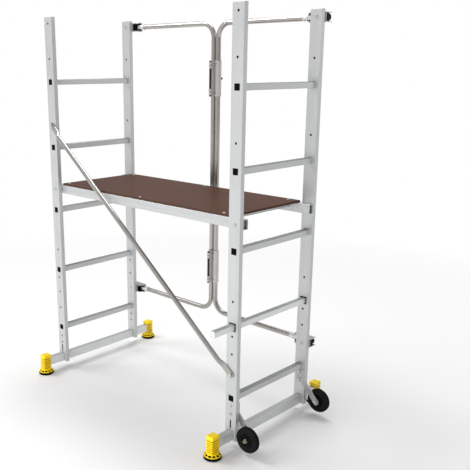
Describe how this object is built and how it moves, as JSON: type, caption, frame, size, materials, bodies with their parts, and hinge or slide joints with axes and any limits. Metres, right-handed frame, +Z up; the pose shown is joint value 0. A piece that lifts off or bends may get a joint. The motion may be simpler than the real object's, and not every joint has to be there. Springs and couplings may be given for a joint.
{
  "type": "mobile tower scaffold",
  "caption": "Foldable mobile tower scaffold with two ladder frames, a plywood deck, a hinged guard rail, a diagonal brace, wide base beams and tip-to-roll wheels.",
  "frame": {"origin": "middle of the whole object's plan box, on the floor", "axes": "+X from the plain ladder frame towards the frame with the wheels, +Y from the brace side to the guard-rail side, +Z up"},
  "size_m": [1.3109, 0.763, 1.704],
  "materials": {
    "aluminium": "satin mill extrusion",
    "bright_tube": "polished tube",
    "hinge_metal": "satin, slightly dull",
    "zinc_plate": "zinc plated",
    "zinc_steel": "bright zinc",
    "black_steel": "black satin",
    "rivet": "satin",
    "black_plastic": "moulded, satin",
    "grey_plastic": "moulded",
    "yellow_plastic": "moulded, satin gloss",
    "rubber": "matt",
    "tyre": "matt",
    "plywood": "phenolic film, satin"
  },
  "bodies": {
    "wheel frame": {"right_front_stile": "aluminium", "right_rear_stile": "aluminium", "right_rung_1": "aluminium", "right_rung_3": "aluminium", "right_rung_4": "aluminium", "right_rung_5": "aluminium", "right_rung_plugs": "black_plastic", "right_stile_caps": "grey_plastic", "right_base_beam": "aluminium", "right_feet": "yellow_plastic", "right_foot_soles": "rubber", "wheel_arms": "zinc_plate", "wheel_axles": "zinc_steel", "right_frame_bolts": "zinc_steel", "right_guard_brackets": "zinc_plate", "right_guard_forks": "black_plastic", "right_guard_pins": "zinc_steel", "right_deck_bolts": "zinc_steel", "brace_pivot_bolt": "zinc_steel", "step_bar_bushes": "black_plastic"},
    "step bar": {"step_bar": "aluminium"},
    "front wheel": {"front_tyre": "tyre", "front_hub": "black_plastic"},
    "rear wheel": {"rear_tyre": "tyre", "rear_hub": "black_plastic"},
    "brace": {"brace": "bright_tube"},
    "right guard half": {"right_guard_tube": "bright_tube", "right_guard_ends": "aluminium", "right_hinge_leaves": "hinge_metal", "right_leaf_bolts": "zinc_steel", "hinge_rods": "black_steel"},
    "hinge button": {"hinge_button": "black_plastic"},
    "left guard half": {"left_guard_tube": "bright_tube", "left_guard_ends": "aluminium", "left_hinge_leaves": "hinge_metal", "left_leaf_bolts": "zinc_steel"},
    "plain frame": {"left_front_stile": "aluminium", "left_rear_stile": "aluminium", "left_rung_1": "aluminium", "left_rung_2": "aluminium", "left_rung_3": "aluminium", "left_rung_4": "aluminium", "left_rung_5": "aluminium", "left_rung_plugs": "black_plastic", "left_stile_caps": "grey_plastic", "left_base_beam": "aluminium", "left_feet": "yellow_plastic", "left_foot_soles": "rubber", "left_frame_bolts": "zinc_steel", "left_guard_brackets": "zinc_plate", "left_guard_forks": "black_plastic", "left_guard_pins": "zinc_steel", "left_deck_bolts": "zinc_steel", "brace_stud": "zinc_steel"},
    "platform": {"deck_board": "plywood", "front_rail": "aluminium", "rear_rail": "aluminium", "deck_cross_members": "aluminium", "deck_rivets": "rivet"}
  },
  "joints": [
    {"name": "guard fold", "type": "hinge", "parent": "wheel frame", "child": "right guard half", "pos_m": [0.459, 0.2695, 1], "axis": [0, 0, -1], "range_deg": [0, 88]},
    {"name": "middle fold", "type": "hinge", "parent": "right guard half", "child": "left guard half", "pos_m": [-0.054, 0.2315, 1], "axis": [0, 0, -1], "range_deg": [-176, 0]},
    {"name": "plain frame turn", "type": "hinge", "parent": "left guard half", "child": "plain frame", "pos_m": [-0.567, 0.2695, 1], "axis": [0, 0, -1], "range_deg": [0, 88]},
    {"name": "brace swing", "type": "hinge", "parent": "wheel frame", "child": "brace", "pos_m": [0.5115, -0.2455, 0.3205], "axis": [0, 1, 0], "range_deg": [0, 43]},
    {"name": "platform slide", "type": "slide", "parent": "wheel frame", "child": "platform", "axis": [1, 0, 0], "range_m": [0, 1.1]},
    {"name": "step bar slide", "type": "slide", "parent": "wheel frame", "child": "step bar", "axis": [0, 1, 0], "range_m": [0, 0.115]},
    {"name": "front wheel spin", "type": "hinge", "parent": "wheel frame", "child": "front wheel", "pos_m": [0.603, -0.2415, 0.0715], "axis": [0, 1, 0], "continuous": true},
    {"name": "rear wheel spin", "type": "hinge", "parent": "wheel frame", "child": "rear wheel", "pos_m": [0.603, 0.2415, 0.0715], "axis": [0, 1, 0], "continuous": true},
    {"name": "button press", "type": "slide", "parent": "right guard half", "child": "hinge button", "axis": [-1, 0, 0], "range_m": [0, 0.003], "stiffness_N_per_m": 300}
  ],
  "couplings": [
    {"joint": "middle fold", "follows": "guard fold", "ratio": -2},
    {"joint": "plain frame turn", "follows": "guard fold", "ratio": 1},
    {"joint": "brace swing", "follows": "guard fold", "ratio": 0.4885}
  ]
}
